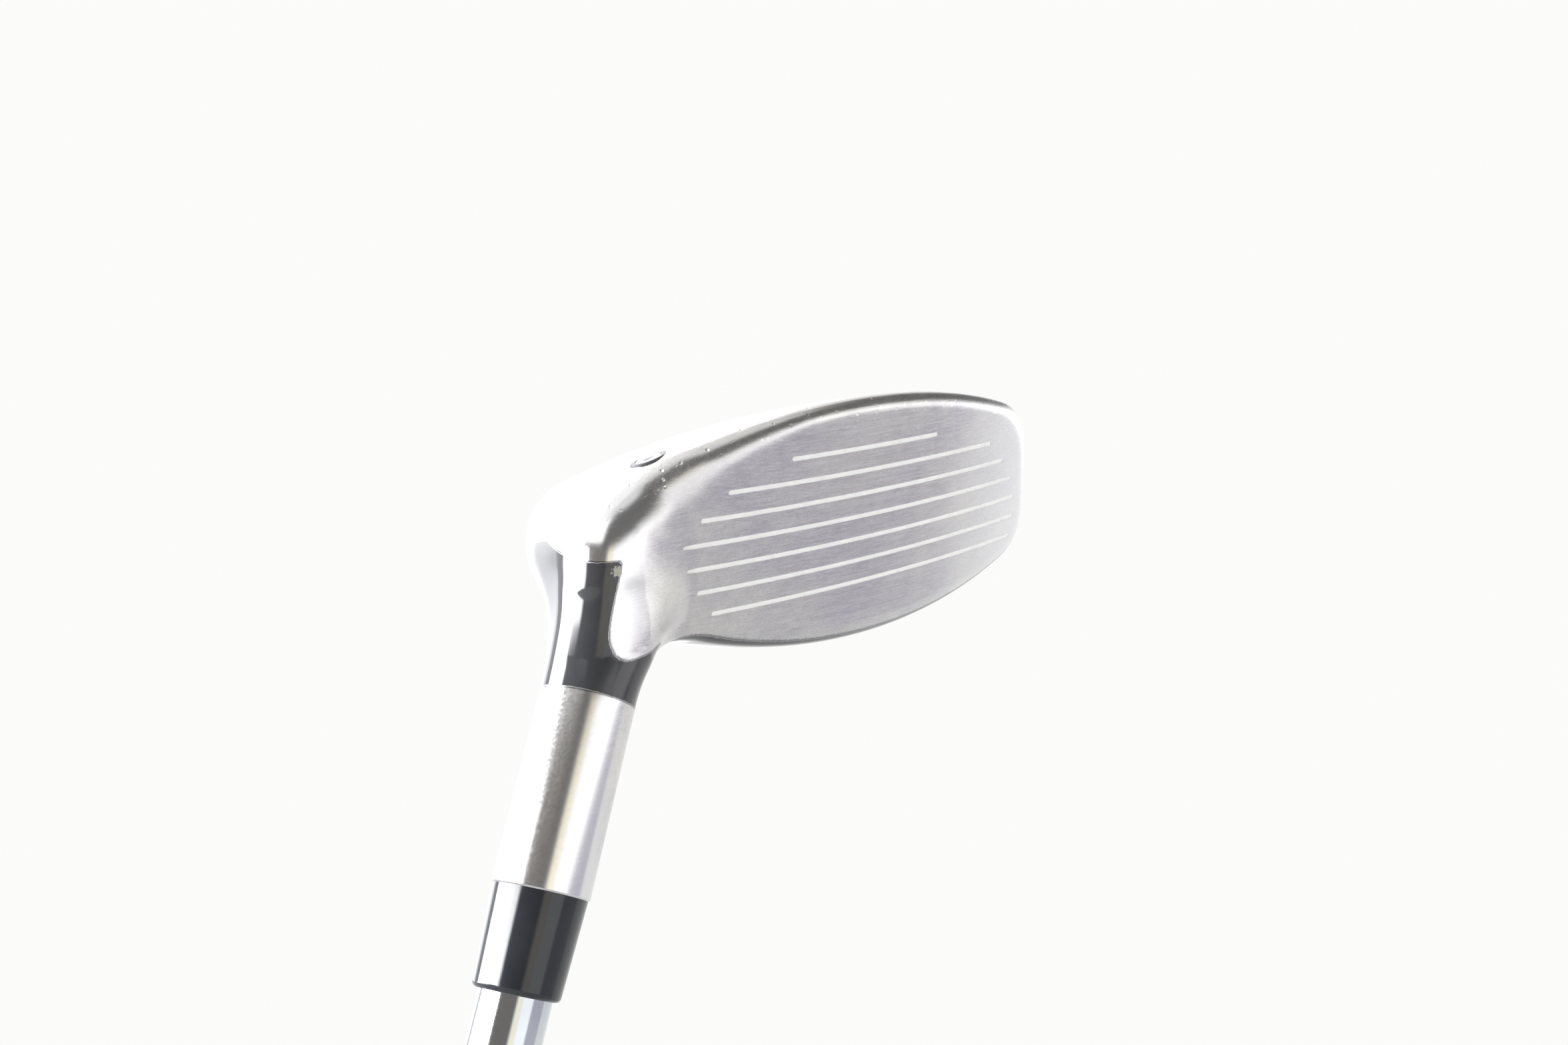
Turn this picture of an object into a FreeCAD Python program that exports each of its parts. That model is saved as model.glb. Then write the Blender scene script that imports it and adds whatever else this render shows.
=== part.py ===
import FreeCAD, Part
import math
import os

# Hybrid golf club, right-handed, standing on the butt of its grip with the head up.
# Millimetres. +Z runs up the shaft axis from the butt end of the grip, which is the
# origin. The toe is on the +X side and the face looks along -Y.
#
# The head is drawn in its own address frame: origin at the middle of the face,
# +X to the toe, +Y towards the target, +Z up, with the score lines along X.
# One placement then turns it over and hangs it on the shaft axis.

Vector = FreeCAD.Vector
Rotation = FreeCAD.Rotation
Placement = FreeCAD.Placement
Z_AXIS = Vector(0, 0, 1)

SIZES = [
    # whole club
    ("club_length", 1003.0, "butt end to the ground point on the shaft axis"),
    ("lie_angle", 60.5, "shaft axis to the ground, degrees"),
    ("loft_angle", 21.0, "face to the vertical, degrees"),
    # hosel axis point level with the face, in the address frame
    ("axis_x", -41.3, "hosel axis, toe-heel place"),
    ("axis_y", -6.9, "hosel axis, behind the middle of the face"),
    ("axis_z", -2.7, "hosel axis, height of that point"),
    ("ground_drop", 19.6, "from that point along the axis to the ground"),
    ("neck_reach", 21.5, "from that point to the end of the painted neck"),
    ("hosel_reach", 46.8, "from that point to the hosel's mouth"),
    ("hosel_radius", 6.35, "half of 12.7 mm"),
    ("hosel_bore_radius", 4.83, "0.370 in tip plus glue"),
    ("hosel_bore_depth", 33.0, "from the mouth to the bottom of the bore"),
    ("bore_overrun", 1.0, "how far the bore's cutter runs out of the mouth"),
    ("column_radius", 8.8, "heel column inside the head"),
    ("column_wall", 0.8, "metal left round the column inside the head"),
    ("column_drop", 18.0, "column below the axis point"),
    ("flare_start", 2.0, "above the axis point, where the column starts to taper"),
    ("tongue_x", -40.0, "middle of the face's tongue on the column"),
    ("tongue_depth", -2.8, "its foot against the middle of the face"),
    ("tongue_turn", 10.0, "its slope, out of the face towards the heel, degrees"),
    ("tongue_height", -5.5, "up the face, where the tongue starts to rise"),
    ("tongue_radius", 19.4, "hollow between face and neck"),
    ("tongue_sweep", 56.0, "turn of that hollow, degrees"),
    # head outer form
    ("face_radius", 290.0, "bulge and roll"),
    ("plan_radius", 43.3, "outline seen from above"),
    ("plan_x", -0.5, "centre of that outline"),
    ("plan_y", -15.0, "centre of that outline"),
    ("crown_x", 3.0, "centre of the crown's ellipsoid"),
    ("crown_y", -10.0, "centre of the crown's ellipsoid"),
    ("crown_z", -12.0, "centre of the crown's ellipsoid"),
    ("crown_half_width", 58.0, "toe-heel half axis"),
    ("crown_half_depth", 52.0, "front-back half axis"),
    ("crown_rise", 30.3, "vertical half axis"),
    ("sole_x", -1.0, "centre of the sole's ellipsoid"),
    ("sole_y", -12.0, "centre of the sole's ellipsoid"),
    ("sole_z", 22.0, "centre of the sole's ellipsoid"),
    ("sole_half_width", 78.0, "toe-heel half axis"),
    ("sole_half_depth", 75.0, "front-back half axis"),
    ("sole_sag", 40.3, "vertical half axis"),
    ("skirt_fillet", 7.0, "crown and sole edges round the back"),
    ("cavity_fillet", 4.0, "the same edges inside the walls"),
    ("face_edge_fillet", 2.2, "round the face"),
    ("head_clearance", 40.0, "how far a cutter stands clear of the head"),
    # head walls
    ("crown_wall", 0.9, ""),
    ("skirt_wall", 1.6, ""),
    ("sole_wall", 2.2, ""),
    ("face_wall", 2.6, ""),
    ("face_insert_half_width", 37.0, "welded face plate"),
    ("face_insert_half_height", 13.5, "welded face plate"),
    ("face_cutter_reach", 12.0, "slots and face window, each way from the face"),
    ("crown_plate_radius", 34.0, "welded crown plate"),
    ("crown_plate_y", -20.0, "centre of the crown plate"),
    ("face_ledge", 2.5, "casting left between face and crown plate"),
    ("crown_ledge", 2.0, "casting left between the column and crown plate"),
    # score lines
    ("line_pitch", 3.5, ""),
    ("line_width", 0.7, ""),
    ("line_depth", 0.4, ""),
    ("paint_below", 0.05, "paint lies this far under the face"),
    # sole mark, hot melt and plug
    ("mark_x", -36.0, "centre of the sole mark"),
    ("mark_y", -5.2, "centre of the sole mark"),
    ("mark_radius", 2.6, ""),
    ("mark_line", 0.7, "width of its ring"),
    ("mark_dot_radius", 0.8, ""),
    ("mark_depth", 0.3, ""),
    ("glue_x", 8.0, "hot melt in the rear of the sole"),
    ("glue_y", -40.0, "hot melt in the rear of the sole"),
    ("glue_z", -15.5, "hot melt in the rear of the sole"),
    ("glue_radius", 9.0, ""),
    ("plug_length", 3.0, "hosel plug under the shaft tip"),
    # ferrule
    ("ferrule_length", 12.7, "0.5 in"),
    ("ferrule_mouth_radius", 6.15, "wide end, a small step inside the hosel"),
    ("ferrule_end_radius", 5.6, "thin end, next to the shaft"),
    ("ferrule_rim", 0.7, "rounding at the thin end"),
    # shaft
    ("tip_radius", 4.7, "0.370 in tip"),
    ("butt_radius", 7.62, "0.600 in butt"),
    ("butt_section", 275.0, "parallel length at the butt"),
    ("step_count", 12, ""),
    ("step_length", 38.1, "1.5 in"),
    ("shaft_wall", 0.6, ""),
    ("tip_weight_length", 18.0, "swing weight inside the tip"),
    # grip end
    ("cap_thickness", 4.0, ""),
    ("cap_radius", 13.5, ""),
    ("cap_rounding", 1.5, ""),
    ("vent_radius", 1.3, ""),
    ("grip_length", 267.0, "10.5 in, with the cap"),
    ("grip_shoulder_radius", 12.9, "next to the cap"),
    ("grip_hold_radius", 11.6, "under the upper hand"),
    ("grip_hold_height", 75.0, "height of that place"),
    ("grip_mouth_radius", 8.9, "at the mouth"),
    ("tape_thickness", 0.15, ""),
    ("band_thickness", 0.08, "shaft label"),
    ("band_length", 30.0, ""),
    ("band_gap", 3.0, "from the first step to the band"),
]

# Heel end, toe end of each score line, counted from the sole side to the crown side.
SCORE_LINES = [
    (-17.2, 13.7),
    (-28.3, 28.4),
    (-32.7, 32.5),
    (-35.7, 35.7),
    (-34.9, 37.0),
    (-32.7, 37.7),
    (-30.0, 37.2),
]

doc = FreeCAD.newDocument("hybrid_club")
sheet = doc.addObject("Spreadsheet::Sheet", "Sizes")
for row, (alias, value, note) in enumerate(SIZES, start=1):
    sheet.set(f"A{row}", alias)
    sheet.set(f"B{row}", str(value))
    sheet.setAlias(f"B{row}", alias)
    sheet.set(f"C{row}", note)
doc.recompute()


def size(alias):
    return float(sheet.get(alias))


def bind(obj, **formulas):
    """Bind properties to formulas; bare sheet aliases are written with $."""
    for prop, formula in formulas.items():
        obj.setExpression(prop.replace("__", "."), formula.replace("$", "Sizes."))
    return obj


def solid(kind, name, place=None, **formulas):
    obj = doc.addObject("Part::" + kind, name)
    if place is not None:
        obj.Placement = place
    return bind(obj, **formulas)


def cut(name, base, tool):
    obj = doc.addObject("Part::Cut", name)
    obj.Base = base
    obj.Tool = tool
    return obj


def common(name, *shapes):
    obj = doc.addObject("Part::MultiCommon", name)
    obj.Shapes = list(shapes)
    return obj


def fuse(name, *shapes):
    obj = doc.addObject("Part::MultiFuse", name)
    obj.Shapes = list(shapes)
    return obj


def fillet(name, base, radius_alias, keep):
    """Round the edges of base that keep(edge) picks."""
    doc.recompute()
    radius = size(radius_alias)
    obj = doc.addObject("Part::Fillet", name)
    obj.Base = base
    obj.Edges = [(number, radius, radius)
                 for number, edge in enumerate(base.Shape.Edges, start=1) if keep(edge)]
    return obj


# ---------------------------------------------------------------- address frame

LIE = math.radians(size("lie_angle"))
LOFT = math.radians(size("loft_angle"))
AXIS_POINT = Vector(size("axis_x"), size("axis_y"), size("axis_z"))
TO_GRIP = Vector(-math.cos(LIE), 0, math.sin(LIE))
FACE_NORMAL = Vector(0, math.cos(LOFT), math.sin(LOFT))
HOSEL_TURN = Rotation(Vector(0, 1, 0), size("lie_angle") - 90)
FACE_TURN = Rotation(Vector(1, 0, 0), -size("loft_angle"))

# Half a turn about a line in the XZ plane lays the hosel axis along -Z, head up.
axis_height = size("club_length") - size("ground_drop")
flip_tilt = math.radians(90 - size("lie_angle")) / 2
head_turn = Rotation(Vector(math.cos(flip_tilt), 0, math.sin(flip_tilt)), 180)
HEAD_PLACE = Placement(Vector(0, 0, axis_height) - head_turn.multVec(AXIS_POINT), head_turn)


def on_axis(reach):
    """A frame on the hosel axis, reach mm towards the grip, its Z along the axis."""
    return Placement(AXIS_POINT + TO_GRIP * reach, HOSEL_TURN)


def in_face(x, height):
    """A frame x mm to the toe and height mm up the face, its Z along the face normal."""
    up_face = Vector(0, -math.sin(LOFT), math.cos(LOFT))
    turn = Rotation(Vector(1, 0, 0), size("loft_angle") - 90)
    return Placement(Vector(x, 0, 0) + up_face * height, turn)


def outer_form(name, skirt, crown, sole, rounding):
    """The head's closed form behind the face, drawn in by three wall formulas."""
    plan_foot = Vector(size("plan_x"), size("plan_y"), -size("head_clearance"))
    plan = solid("Cylinder", name + "_plan", Placement(plan_foot, Rotation()),
                 Radius="$plan_radius - " + skirt, Height="2 * $head_clearance")
    dome = solid("Ellipsoid", name + "_crown",
                 Placement(Vector(size("crown_x"), size("crown_y"), size("crown_z")), Rotation()),
                 Radius1="$crown_rise - " + crown,
                 Radius2="$crown_half_width - " + crown,
                 Radius3="$crown_half_depth - " + crown)
    bowl = solid("Ellipsoid", name + "_sole",
                 Placement(Vector(size("sole_x"), size("sole_y"), size("sole_z")), Rotation()),
                 Radius1="$sole_sag - " + sole,
                 Radius2="$sole_half_width - " + sole,
                 Radius3="$sole_half_depth - " + sole)
    blank = common(name + "_blank", plan, dome, bowl)
    return fillet(name + "_rounded", blank, rounding,
                  lambda edge: edge.Length > size("plan_radius"))


def face_ball(name, inset):
    """The ball whose surface, inset mm under the face, carries its bulge and roll."""
    return solid("Sphere", name, Placement(FACE_NORMAL * -size("face_radius"), FACE_TURN),
                 Radius="$face_radius - " + inset)


def revolved(name, place, outline):
    """A solid turned about a frame's Z axis; outline is lines and arcs in its XZ plane."""
    sketch = doc.addObject("Sketcher::SketchObject", name + "_profile")
    sketch.Placement = place.multiply(Placement(Vector(), Rotation(Vector(1, 0, 0), 90)))
    sketch.addGeometry(outline, False)
    turned = doc.addObject("Part::Revolution", name)
    turned.Source = sketch
    turned.Base = place.Base
    turned.Axis = place.Rotation.multVec(Z_AXIS)
    turned.Angle = 360
    turned.Solid = True
    return turned


def point(radius, height):
    return Vector(radius, height, 0)


def polyline(*points):
    return [Part.LineSegment(first, last) for first, last in zip(points, points[1:])]


def heel_column(name, extra):
    """The hosel's own column, flaring inside the heel and trimmed by the sole."""
    top = size("column_drop") + size("neck_reach")
    low = size("column_radius") + extra
    high = size("hosel_radius") + extra
    flare_foot = size("column_drop") + size("flare_start")
    flare_height = top - flare_foot
    flare_radius = (flare_height ** 2 + (low - high) ** 2) / (2 * (low - high))
    flare_turn = math.asin(flare_height / flare_radius)
    middle = point(high + flare_radius * (1 - math.cos(flare_turn / 2)),
                   top - flare_radius * math.sin(flare_turn / 2))
    outline = polyline(point(high, top), point(0, top), point(0, 0), point(low, 0),
                       point(low, flare_foot))
    outline.append(Part.Arc(point(low, flare_foot), middle, point(high, top)))
    column = revolved(name + "_turned", on_axis(-size("column_drop")), outline)
    bowl = solid("Ellipsoid", name + "_sole",
                 Placement(Vector(size("sole_x"), size("sole_y"), size("sole_z")), Rotation()),
                 Radius1="$sole_sag", Radius2="$sole_half_width", Radius3="$sole_half_depth")
    return common(name, column, bowl)


def tongue_cutter(name):
    """What is milled off the front of the column: flat with the face, then hollow."""
    across = size("tongue_x")
    slope = math.radians(size("tongue_turn"))
    depth = size("tongue_depth")
    hollow = size("tongue_radius")
    start = size("tongue_height")
    reach = size("head_clearance")
    rise = math.radians(size("tongue_sweep"))
    end = Vector(start + hollow * math.sin(rise), depth + hollow * (1 - math.cos(rise)), 0)
    middle = Vector(start + hollow * math.sin(rise / 2),
                    depth + hollow * (1 - math.cos(rise / 2)), 0)
    first = Vector(start, depth, 0)
    outline = polyline(end, Vector(end.x, reach, 0), Vector(-reach, reach, 0),
                       Vector(-reach, depth, 0), first)
    outline.append(Part.Arc(first, middle, end))
    # The sketch's X runs up the face and its Y out of the face.
    along = in_face(0, 0).Rotation.multiply(Rotation(Z_AXIS, -90))
    sketch = doc.addObject("Sketcher::SketchObject", name + "_profile")
    sketch.Placement = Placement(Vector(across, 0, 0), along.multiply(Rotation(Vector(1, 0, 0), 90)))
    sketch.addGeometry(outline, False)
    prism = doc.addObject("Part::Extrusion", name)
    prism.Base = sketch
    prism.DirMode = "Custom"
    prism.Dir = Vector(math.cos(slope), 0, 0) + FACE_NORMAL * -math.sin(slope)
    prism.LengthFwd = size("column_radius") * 2
    prism.LengthRev = size("column_radius") * 2
    prism.Solid = True
    return prism


def outer_front(name, face_inset, skirt, crown, sole, rounding):
    """That form cut off by the face."""
    ball = face_ball(name + "_face", face_inset)
    return common(name + "_front", outer_form(name, skirt, crown, sole, rounding), ball)


def lies_on_ball(edge, radius):
    """True for an edge that runs in the ball-shaped face of this radius."""
    centre = FACE_NORMAL * -size("face_radius")
    first, last = edge.ParameterRange
    places = [edge.valueAt(first + (last - first) * part / 4) for part in range(5)]
    return all(abs((place - centre).Length - radius) < 0.001 for place in places)


def ring(name, place, outer, inner, height):
    """A tube of bound radii with its foot at a frame."""
    wall = solid("Cylinder", name + "_wall", place, Radius=outer, Height=height)
    core = solid("Cylinder", name + "_core", place, Radius=inner, Height=height)
    return cut(name, wall, core)


def sub_part(obj, label, place=None):
    """Name a finished sub-part and put it in place."""
    obj.Label = label
    if place is not None:
        obj.Placement = place
    sub_parts.append(obj)


def sketch_body(name):
    """A body with an empty sketch on its own XZ plane, ready to be revolved about Z."""
    body = doc.addObject("PartDesign::Body", name)
    sketch = body.newObject("Sketcher::SketchObject", name + "_profile")
    plane = [item for item in body.Origin.OriginFeatures if item.Role == "XZ_Plane"][0]
    sketch.AttachmentSupport = (plane, "")
    sketch.MapMode = "FlatFace"
    return body, sketch


def revolve_profile(body, sketch, name):
    turned = body.newObject("PartDesign::Revolution", name)
    turned.Profile = sketch
    turned.ReferenceAxis = (sketch, ["V_Axis"])
    turned.Angle = 360
    doc.recompute()
    return turned


sub_parts = []

# ---------------------------------------------------------------- head solids

outer = outer_front("outer", "0", "0", "0", "0", "skirt_fillet")
edged = fillet("outer_edged", outer, "face_edge_fillet",
               lambda edge: lies_on_ball(edge, size("face_radius")))
hosel_tube = solid("Cylinder", "hosel_tube", on_axis(size("neck_reach")),
                   Radius="$hosel_radius", Height="$hosel_reach - $neck_reach")
milled_column = cut("milled_column", heel_column("column", 0), tongue_cutter("tongue"))
head_form = fuse("head_form", edged, milled_column, hosel_tube)

cavity_form = outer_front("cavity", "$face_wall", "$skirt_wall", "$crown_wall", "$sole_wall",
                          "cavity_fillet")
cavity = cut("cavity_space", cavity_form, heel_column("inner_column", size("column_wall")))

hosel_bore = solid("Cylinder", "hosel_bore",
                   on_axis(size("hosel_reach") - size("hosel_bore_depth")),
                   Radius="$hosel_bore_radius", Height="$hosel_bore_depth + $bore_overrun")
shell_full = cut("shell_full", head_form, cavity)
shell = cut("shell", shell_full, hosel_bore)


def window(name, place, half_width, half_height, depth):
    """An elliptical prism, depth mm each way from a frame, that opens the casting."""
    outline = solid("Ellipse", name + "_outline", place,
                    MajorRadius=half_width, MinorRadius=half_height)
    prism = doc.addObject("Part::Extrusion", name)
    prism.Base = outline
    prism.DirMode = "Custom"
    prism.Dir = place.Rotation.multVec(Z_AXIS)
    prism.LengthFwd = depth
    prism.LengthRev = depth
    prism.Solid = True
    return prism


# The score lines: round-ended grooves of one depth, with paint in them.
def score_slot(number, heel, toe):
    """One score line's slot, round-ended, standing across the face."""
    middle = len(SCORE_LINES) // 2
    half = size("line_width") / 2
    reach = size("face_cutter_reach")
    place = in_face(0, (number - middle) * size("line_pitch"))
    slot = solid("Box", f"slot_{number + 1}",
                 place.multiply(Placement(Vector(heel + half, -half, -reach), Rotation())),
                 Width="$line_width", Height="2 * $face_cutter_reach")
    slot.Length = toe - heel - 2 * half
    ends = [solid("Cylinder", f"slot_{number + 1}_{side}",
                  place.multiply(Placement(Vector(x, 0, -reach), Rotation())),
                  Radius="$line_width / 2", Height="2 * $face_cutter_reach")
            for side, x in (("heel", heel + half), ("toe", toe - half))]
    return fuse(f"slot_{number + 1}_full", slot, *ends)


slots = fuse("slots", *[score_slot(number, heel, toe)
                        for number, (heel, toe) in enumerate(SCORE_LINES)])
groove_floor = face_ball("groove_floor", "$line_depth")
grooves = cut("grooves", slots, groove_floor)
grooved_shell = cut("grooved_shell", shell, grooves)

paint_top = face_ball("paint_top", "$paint_below")
paint_slab = common("paint_slab", slots, paint_top)
score_paint = cut("score_line_paint", paint_slab, groove_floor)

# The face plate: the casting between the face and its back, inside the face window.
face_window = window("face_window", in_face(0, 0), "$face_insert_half_width",
                     "$face_insert_half_height", size("face_cutter_reach"))
face_back = face_ball("face_back", "$face_wall")
face_layer = cut("face_layer", grooved_shell, face_back)
face_plate = common("face_plate", face_layer, face_window)

# The crown plate: the casting's roof inside the crown window.
crown_round = solid("Cylinder", "crown_round",
                    Placement(Vector(size("plan_x"), size("crown_plate_y"), 0), Rotation()),
                    Radius="$crown_plate_radius", Height="$crown_rise")
crown_front = face_ball("crown_front", "$face_wall + $face_ledge")
crown_space = common("crown_space", crown_round, crown_front)
crown_window = cut("crown_window", crown_space, heel_column("crown_column", size("crown_ledge")))
crown_plate = common("crown_plate", grooved_shell, crown_window)

# The sole mark: a ring round a dot, sunk in the sole and filled with paint.
mark_place = Placement(Vector(size("mark_x"), size("mark_y"), -size("sole_sag")), Rotation())
mark_ring = ring("mark_ring", mark_place, "$mark_radius", "$mark_radius - $mark_line", "$sole_sag")
mark_dot = solid("Cylinder", "mark_dot", mark_place, Radius="$mark_dot_radius", Height="$sole_sag")
mark_prism = fuse("mark_prism", mark_ring, mark_dot)
mark_floor = solid("Ellipsoid", "mark_floor",
                   Placement(Vector(size("sole_x"), size("sole_y"), size("sole_z")), Rotation()),
                   Radius1="$sole_sag - $mark_depth", Radius2="$sole_half_width - $mark_depth",
                   Radius3="$sole_half_depth - $mark_depth")
mark_space = cut("mark_space", mark_prism, mark_floor)
sole_mark = common("sole_mark", grooved_shell, mark_space)

body_open = cut("body_open_front", grooved_shell, face_plate)
body_top_open = cut("body_open_top", body_open, crown_window)
head_body = cut("head_body", body_top_open, mark_space)

# Hot melt in the rear of the sole, and the plug under the shaft's tip.
glue_ball = solid("Sphere", "glue_ball",
                  Placement(Vector(size("glue_x"), size("glue_y"), size("glue_z")), Rotation()),
                  Radius="$glue_radius")
hot_melt = common("hot_melt", cavity_form, glue_ball)

sub_part(head_body, "head_body", HEAD_PLACE)
sub_part(face_plate, "face_plate", HEAD_PLACE)
sub_part(score_paint, "score_line_paint", HEAD_PLACE)
sub_part(crown_plate, "crown_plate", HEAD_PLACE)
sub_part(sole_mark, "sole_mark", HEAD_PLACE)
sub_part(hot_melt, "hot_melt_glue", HEAD_PLACE)

# ---------------------------------------------------------------- shaft and hosel joint

MOUTH = "($club_length - $ground_drop - $hosel_reach)"
BORE_END = f"({MOUTH} + $hosel_bore_depth)"
TIP = f"({BORE_END} - $plug_length)"


def upright(kind, name, foot, **formulas):
    """A primitive on the shaft axis with its foot at a bound height."""
    return solid(kind, name, **{"Placement__Base__z": foot}, **formulas)


def sleeve(name, foot, height, outer_radius, inner_radius):
    """A plain tube on the shaft axis."""
    wall = upright("Cylinder", name + "_wall", foot, Radius=outer_radius, Height=height)
    core = upright("Cylinder", name + "_core", foot, Radius=inner_radius, Height=height)
    return cut(name, wall, core)


def section_radius(number):
    return f"($butt_radius - ($butt_radius - $tip_radius) * {number} / $step_count)"


def shaft_sections():
    """Foot, height and radius formulas of the shaft's parallel sections, butt to tip."""
    count = int(size("step_count"))
    sections = [("$cap_thickness", "$butt_section", section_radius(0))]
    for number in range(1, count):
        foot = f"($cap_thickness + $butt_section + {number - 1} * $step_length)"
        sections.append((foot, "$step_length", section_radius(number)))
    foot = f"($cap_thickness + $butt_section + {count - 1} * $step_length)"
    sections.append((foot, f"({TIP} - {foot})", section_radius(count)))
    return sections


walls = []
cores = []
for number, (foot, height, radius) in enumerate(shaft_sections()):
    walls.append(upright("Cylinder", f"shaft_wall_{number}", foot, Radius=radius, Height=height))
    cores.append(upright("Cylinder", f"shaft_core_{number}", foot,
                         Radius=f"{radius} - $shaft_wall", Height=height))
shaft = cut("shaft", fuse("shaft_walls", *walls), fuse("shaft_cores", *cores))

sub_part(shaft, "shaft")
sub_part(upright("Cylinder", "tip_weight", f"{TIP} - $tip_weight_length",
                 Radius="$tip_radius - $shaft_wall", Height="$tip_weight_length"), "tip_weight")
sub_part(upright("Cylinder", "hosel_plug", TIP,
                 Radius="$hosel_bore_radius", Height="$plug_length"), "hosel_plug")
sub_part(sleeve("epoxy_bond", MOUTH, "$hosel_bore_depth - $plug_length",
                "$hosel_bore_radius", "$tip_radius"), "epoxy_bond")
sub_part(sleeve("shaft_band", "$cap_thickness + $butt_section + $band_gap", "$band_length",
                f"{section_radius(1)} + $band_thickness", section_radius(1)), "shaft_band")


# ---------------------------------------------------------------- ferrule

def ferrule_body():
    """A tapering collar against the hosel's mouth, rounded at its thin end."""
    body, sketch = sketch_body("ferrule_body")
    mouth = size("club_length") - size("ground_drop") - size("hosel_reach")
    foot = mouth - size("ferrule_length")
    sketch.addGeometry(polyline(point(size("tip_radius"), foot),
                                point(size("ferrule_end_radius"), foot),
                                point(size("ferrule_mouth_radius"), mouth),
                                point(size("tip_radius"), mouth),
                                point(size("tip_radius"), foot)), False)
    revolve_profile(body, sketch, "ferrule_turned")
    rim = body.newObject("PartDesign::Fillet", "ferrule_rounded")
    edges = [f"Edge{number}" for number, edge in enumerate(body.Shape.Edges, start=1)
             if abs(edge.BoundBox.ZMax - foot) < 0.01
             and abs(edge.BoundBox.ZMin - foot) < 0.01
             and edge.BoundBox.XMax > size("tip_radius") + 0.1]
    rim.Base = (body.getObject("ferrule_turned"), edges)
    bind(rim, Radius="$ferrule_rim")
    return body


sub_part(ferrule_body(), "ferrule")


# ---------------------------------------------------------------- grip

def grip_body():
    """The rubber grip: full at the butt, waisted, and thin at the mouth."""
    body, sketch = sketch_body("grip_body")
    bore = size("butt_radius") + size("tape_thickness")
    foot = size("cap_thickness")
    mouth = size("grip_length")
    shoulder = point(size("grip_shoulder_radius"), foot)
    hold = point(size("grip_hold_radius"), size("grip_hold_height"))
    end = point(size("grip_mouth_radius"), mouth)
    bow = point((hold.x + end.x) / 2, (hold.y + end.y) / 2)
    sketch.addGeometry(polyline(end, point(bore, mouth), point(bore, foot), shoulder), False)
    sketch.addGeometry(polyline(shoulder, hold, bow, end), False)
    revolve_profile(body, sketch, "grip_turned")
    return body


def cap_body():
    """The grip's end cap with its vent hole, flat where the club stands on it."""
    body, sketch = sketch_body("cap_body")
    vent = size("vent_radius")
    rounding = size("cap_rounding")
    radius = size("cap_radius")
    top = size("cap_thickness")
    corner = point(radius - rounding + rounding * math.sin(math.pi / 4),
                   rounding - rounding * math.cos(math.pi / 4))
    sketch.addGeometry(polyline(point(radius, rounding), point(radius, top), point(vent, top),
                                point(vent, 0), point(radius - rounding, 0)), False)
    sketch.addGeometry(Part.Arc(point(radius - rounding, 0), corner, point(radius, rounding)), False)
    revolve_profile(body, sketch, "cap_turned")
    return body


sub_part(grip_body(), "grip")
sub_part(cap_body(), "grip_cap")
sub_part(sleeve("grip_tape", "$cap_thickness", "$grip_length - $cap_thickness",
                "$butt_radius + $tape_thickness", "$butt_radius"), "grip_tape")

# ---------------------------------------------------------------- check and write

doc.recompute()
for obj in doc.Objects:
    if "Invalid" in obj.State or "Error" in obj.State:
        raise RuntimeError(f"{obj.Name} did not build")
for obj in sub_parts:
    if obj.Shape.isNull() or not obj.Shape.isValid():
        raise RuntimeError(f"{obj.Label} is not a valid solid")

os.makedirs("parts", exist_ok=True)
for obj in sub_parts:
    obj.Shape.exportStep(f"parts/{obj.Label}.step")
    print(f"{obj.Label:20s} {len(obj.Shape.Solids):3d} solids {obj.Shape.Volume:12.1f} mm3")
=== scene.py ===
"""Looks of the hybrid golf club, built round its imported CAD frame.

The head is drawn in its address frame, in millimetres: origin at the middle of the
face, +X to the toe, +Y towards the target, +Z up, score lines along X. One matrix
turns it over and hangs it on the shaft axis of the CAD frame, in metres.
"""
import math

import bmesh
import bpy
import numpy as np
from mathutils import Matrix, Vector


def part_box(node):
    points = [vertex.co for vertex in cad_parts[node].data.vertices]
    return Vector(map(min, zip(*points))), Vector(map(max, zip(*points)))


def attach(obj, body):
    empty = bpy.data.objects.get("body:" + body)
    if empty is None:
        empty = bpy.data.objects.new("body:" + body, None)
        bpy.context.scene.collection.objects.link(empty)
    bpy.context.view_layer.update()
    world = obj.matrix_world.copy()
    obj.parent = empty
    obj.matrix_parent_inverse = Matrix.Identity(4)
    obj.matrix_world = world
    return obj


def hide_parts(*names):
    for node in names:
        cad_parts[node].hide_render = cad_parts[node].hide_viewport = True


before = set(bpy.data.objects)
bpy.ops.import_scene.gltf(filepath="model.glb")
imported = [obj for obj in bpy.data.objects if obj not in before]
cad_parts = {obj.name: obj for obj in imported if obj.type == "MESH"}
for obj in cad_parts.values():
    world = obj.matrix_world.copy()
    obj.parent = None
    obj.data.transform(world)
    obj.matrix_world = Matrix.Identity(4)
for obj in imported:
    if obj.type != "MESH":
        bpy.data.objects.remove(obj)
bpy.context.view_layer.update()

MM = 0.001

# ------------------------------------------------------------------ head dimensions

LIE = math.radians(60.5)
LOFT = math.radians(21.0)
AXIS_POINT = np.array((-41.3, -6.9, -2.7))
TO_GRIP = np.array((-math.cos(LIE), 0.0, math.sin(LIE)))
FACE_NORMAL = np.array((0.0, math.cos(LOFT), math.sin(LOFT)))
UP_FACE = np.array((0.0, -math.sin(LOFT), math.cos(LOFT)))
FACE_RADIUS = 290.0

PLAN_CENTRE = (-0.5, -15.0)
PLAN_RADIUS = 43.3
CROWN_CENTRE = np.array((3.0, -10.0, -12.0))
CROWN_HALF = np.array((58.0, 52.0, 30.3))
SOLE_CENTRE = np.array((-1.0, -12.0, 22.0))
SOLE_HALF = np.array((78.0, 75.0, 40.3))

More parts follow.
